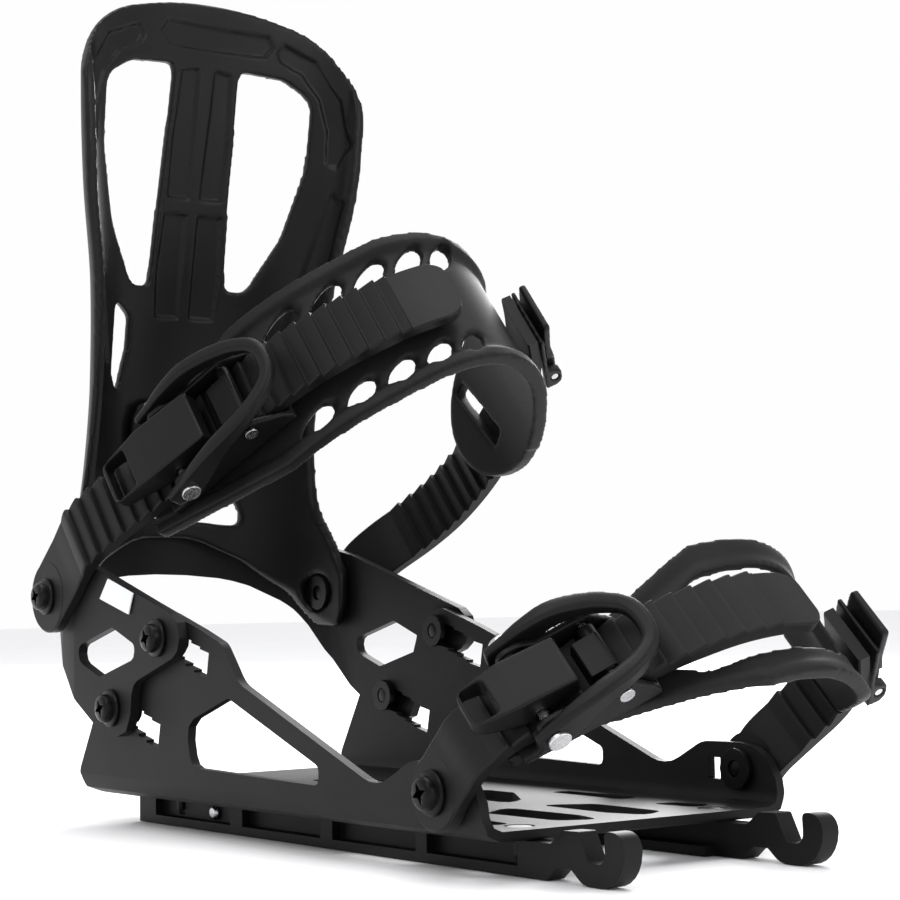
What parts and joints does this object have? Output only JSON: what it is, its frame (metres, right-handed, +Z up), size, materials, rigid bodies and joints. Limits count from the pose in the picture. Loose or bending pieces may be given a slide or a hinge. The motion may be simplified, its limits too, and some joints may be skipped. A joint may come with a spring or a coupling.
{
  "type": "splitboard binding",
  "caption": "Splitboard binding: channel baseplate with rails and toe hooks, heel hoop, leaning highback, and ankle and toe straps closed by ratchet buckles.",
  "frame": {"origin": "centre of the boot bed, on the top face of the baseplate floor", "axes": "+X towards the toe, +Y towards the side without the buckles, +Z up out of the boot bed"},
  "size_m": [0.3431, 0.1583, 0.3041],
  "materials": {
    "anodised_aluminium": "satin black anodised",
    "highback_nylon": "satin moulded black",
    "buckle_nylon": "satin moulded black",
    "strap_polymer": "matte moulded black",
    "pad_rubber": "matte black foam-backed rubber",
    "black_steel": "black oxide",
    "bright_steel": "plain steel",
    "label_film": "plain white, no lettering"
  },
  "bodies": {
    "chassis": {"baseplate": "anodised_aluminium", "heel_hoop": "anodised_aluminium", "hoop_label": "label_film", "near_rail": "anodised_aluminium", "near_rail_screw": "bright_steel", "near_floor_screw_1": "black_steel", "near_floor_screw_2": "black_steel", "near_hoop_bolt_upper": "black_steel", "near_hoop_nut_upper": "black_steel", "near_hoop_bolt_lower": "black_steel", "near_hoop_nut_lower": "black_steel", "near_hinge_bolt": "black_steel", "near_hinge_nut": "black_steel", "near_toe_bolt": "black_steel", "near_toe_nut": "black_steel", "far_rail": "anodised_aluminium", "far_rail_screw": "bright_steel", "far_floor_screw_1": "black_steel", "far_floor_screw_2": "black_steel", "far_hoop_bolt_upper": "black_steel", "far_hoop_nut_upper": "black_steel", "far_hoop_bolt_lower": "black_steel", "far_hoop_nut_lower": "black_steel", "far_hinge_bolt": "black_steel", "far_hinge_nut": "black_steel", "far_toe_bolt": "black_steel", "far_toe_nut": "black_steel"},
    "highback": {"highback": "highback_nylon", "highback_pad": "pad_rubber", "lean_adjuster_block": "highback_nylon", "lean_lever_pin": "bright_steel"},
    "lean_lever": {"lean_flip_lever": "highback_nylon"},
    "ankle_strap": {"ankle_ladder": "strap_polymer", "ankle_connector": "strap_polymer", "ankle_pad": "pad_rubber", "ankle_buckle_base": "buckle_nylon", "ankle_lever_rivet": "bright_steel", "ankle_pawl_rivet": "bright_steel", "ankle_pawl_spring": "bright_steel", "ankle_base_screw": "bright_steel", "ankle_adjuster_base": "buckle_nylon", "ankle_adjuster_pin": "bright_steel"},
    "ankle_ratchet_lever": {"ankle_buckle_lever": "buckle_nylon"},
    "ankle_release": {"ankle_release_tab": "buckle_nylon"},
    "ankle_ratchet_pawl": {"ankle_pawl": "bright_steel"},
    "ankle_latch": {"ankle_adjuster_latch": "buckle_nylon"},
    "toe_strap": {"toe_ladder": "strap_polymer", "toe_connector": "strap_polymer", "toe_cap": "pad_rubber", "toe_buckle_base": "buckle_nylon", "toe_lever_rivet": "bright_steel", "toe_pawl_rivet": "bright_steel", "toe_pawl_spring": "bright_steel", "toe_base_screw": "bright_steel", "toe_adjuster_base": "buckle_nylon", "toe_adjuster_pin": "bright_steel"},
    "toe_ratchet_lever": {"toe_buckle_lever": "buckle_nylon"},
    "toe_release": {"toe_release_tab": "buckle_nylon"},
    "toe_ratchet_pawl": {"toe_pawl": "bright_steel"},
    "toe_latch": {"toe_adjuster_latch": "buckle_nylon"}
  },
  "joints": [
    {"name": "highback_lean", "type": "hinge", "parent": "chassis", "child": "highback", "pos_m": [-0.1298, 0, 0.0667], "axis": [0, 1, 0], "range_deg": [0, 15]},
    {"name": "lean_lever_flip", "type": "hinge", "parent": "highback", "child": "lean_lever", "pos_m": [-0.15977, 0, 0.1478], "axis": [0, 1, 0], "range_deg": [0, 80]},
    {"name": "ankle_strap_swing", "type": "hinge", "parent": "chassis", "child": "ankle_strap", "pos_m": [-0.1298, 0, 0.0667], "axis": [0, 1, 0], "range_deg": [-10, 6]},
    {"name": "toe_strap_swing", "type": "hinge", "parent": "chassis", "child": "toe_strap", "pos_m": [0.1014, 0, 0.0103], "axis": [0, 1, 0], "range_deg": [-12, 8]},
    {"name": "ankle_lever_lift", "type": "hinge", "parent": "ankle_strap", "child": "ankle_ratchet_lever", "pos_m": [-0.07024, -0.04666, 0.11667], "axis": [0.6428, 0, -0.766], "range_deg": [0, 70]},
    {"name": "ankle_release_lift", "type": "hinge", "parent": "ankle_strap", "child": "ankle_release", "pos_m": [-0.07024, -0.04666, 0.11667], "axis": [-0.6428, 0, 0.766], "range_deg": [0, 10], "stiffness_Nm_per_rad": 0.05, "springref_deg": -5.73},
    {"name": "ankle_pawl_lift", "type": "hinge", "parent": "ankle_strap", "child": "ankle_ratchet_pawl", "pos_m": [-0.05053, -0.03327, 0.13322], "axis": [-0.6428, 0, 0.766], "range_deg": [0, 10], "stiffness_Nm_per_rad": 0.02, "springref_deg": -5.73},
    {"name": "ankle_latch_open", "type": "hinge", "parent": "ankle_strap", "child": "ankle_latch", "pos_m": [-0.0275, 0.08184, 0.15254], "axis": [-0.6428, 0, 0.766], "range_deg": [0, 45]},
    {"name": "toe_lever_lift", "type": "hinge", "parent": "toe_strap", "child": "toe_ratchet_lever", "pos_m": [0.12944, -0.04867, 0.03834], "axis": [0.7071, 0, -0.7071], "range_deg": [0, 70]},
    {"name": "toe_release_lift", "type": "hinge", "parent": "toe_strap", "child": "toe_release", "pos_m": [0.12944, -0.04867, 0.03834], "axis": [-0.7071, 0, 0.7071], "range_deg": [0, 10], "stiffness_Nm_per_rad": 0.05, "springref_deg": -5.73},
    {"name": "toe_pawl_lift", "type": "hinge", "parent": "toe_strap", "child": "toe_ratchet_pawl", "pos_m": [0.13864, -0.03087, 0.04754], "axis": [-0.7071, 0, 0.7071], "range_deg": [0, 10], "stiffness_Nm_per_rad": 0.02, "springref_deg": -5.73},
    {"name": "toe_latch_open", "type": "hinge", "parent": "toe_strap", "child": "toe_latch", "pos_m": [0.13242, 0.07512, 0.04132], "axis": [-0.7071, 0, 0.7071], "range_deg": [0, 45]}
  ],
  "couplings": [
    {"joint": "ankle_pawl_lift", "follows": "ankle_release_lift", "ratio": 1},
    {"joint": "toe_pawl_lift", "follows": "toe_release_lift", "ratio": 1}
  ]
}
